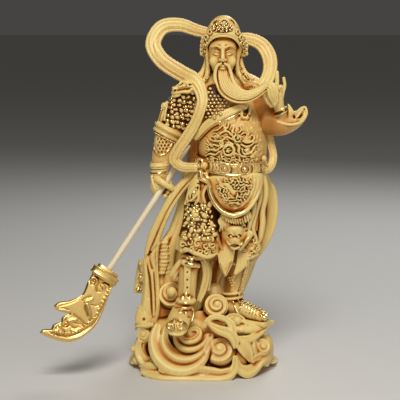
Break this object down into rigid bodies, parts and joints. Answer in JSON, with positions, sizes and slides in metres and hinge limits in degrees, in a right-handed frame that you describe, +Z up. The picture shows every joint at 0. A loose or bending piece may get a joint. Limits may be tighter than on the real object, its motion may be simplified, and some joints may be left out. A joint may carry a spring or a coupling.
{
  "type": "carved general figurine",
  "caption": "Carved boxwood figurine of a bearded general in armour and flowing sash, standing on swirling clouds and holding a halberd in a pierced fist.",
  "frame": {"origin": "centre of the base's flat underside, on the table", "axes": "+Z up through the figure, -Y the way the figure faces, +X to the viewer's right from the front"},
  "size_m": [0.149, 0.0701, 0.2],
  "materials": {
    "boxwood": "oiled and polished, dark in the cuts, raised details gilded",
    "pale_wood": "smooth, unfinished",
    "gilt_metal": "polished gold plating"
  },
  "bodies": {
    "root": {"figure_on_clouds": "boxwood", "halberd_pole": "pale_wood", "halberd_blade": "gilt_metal"}
  },
  "joints": []
}
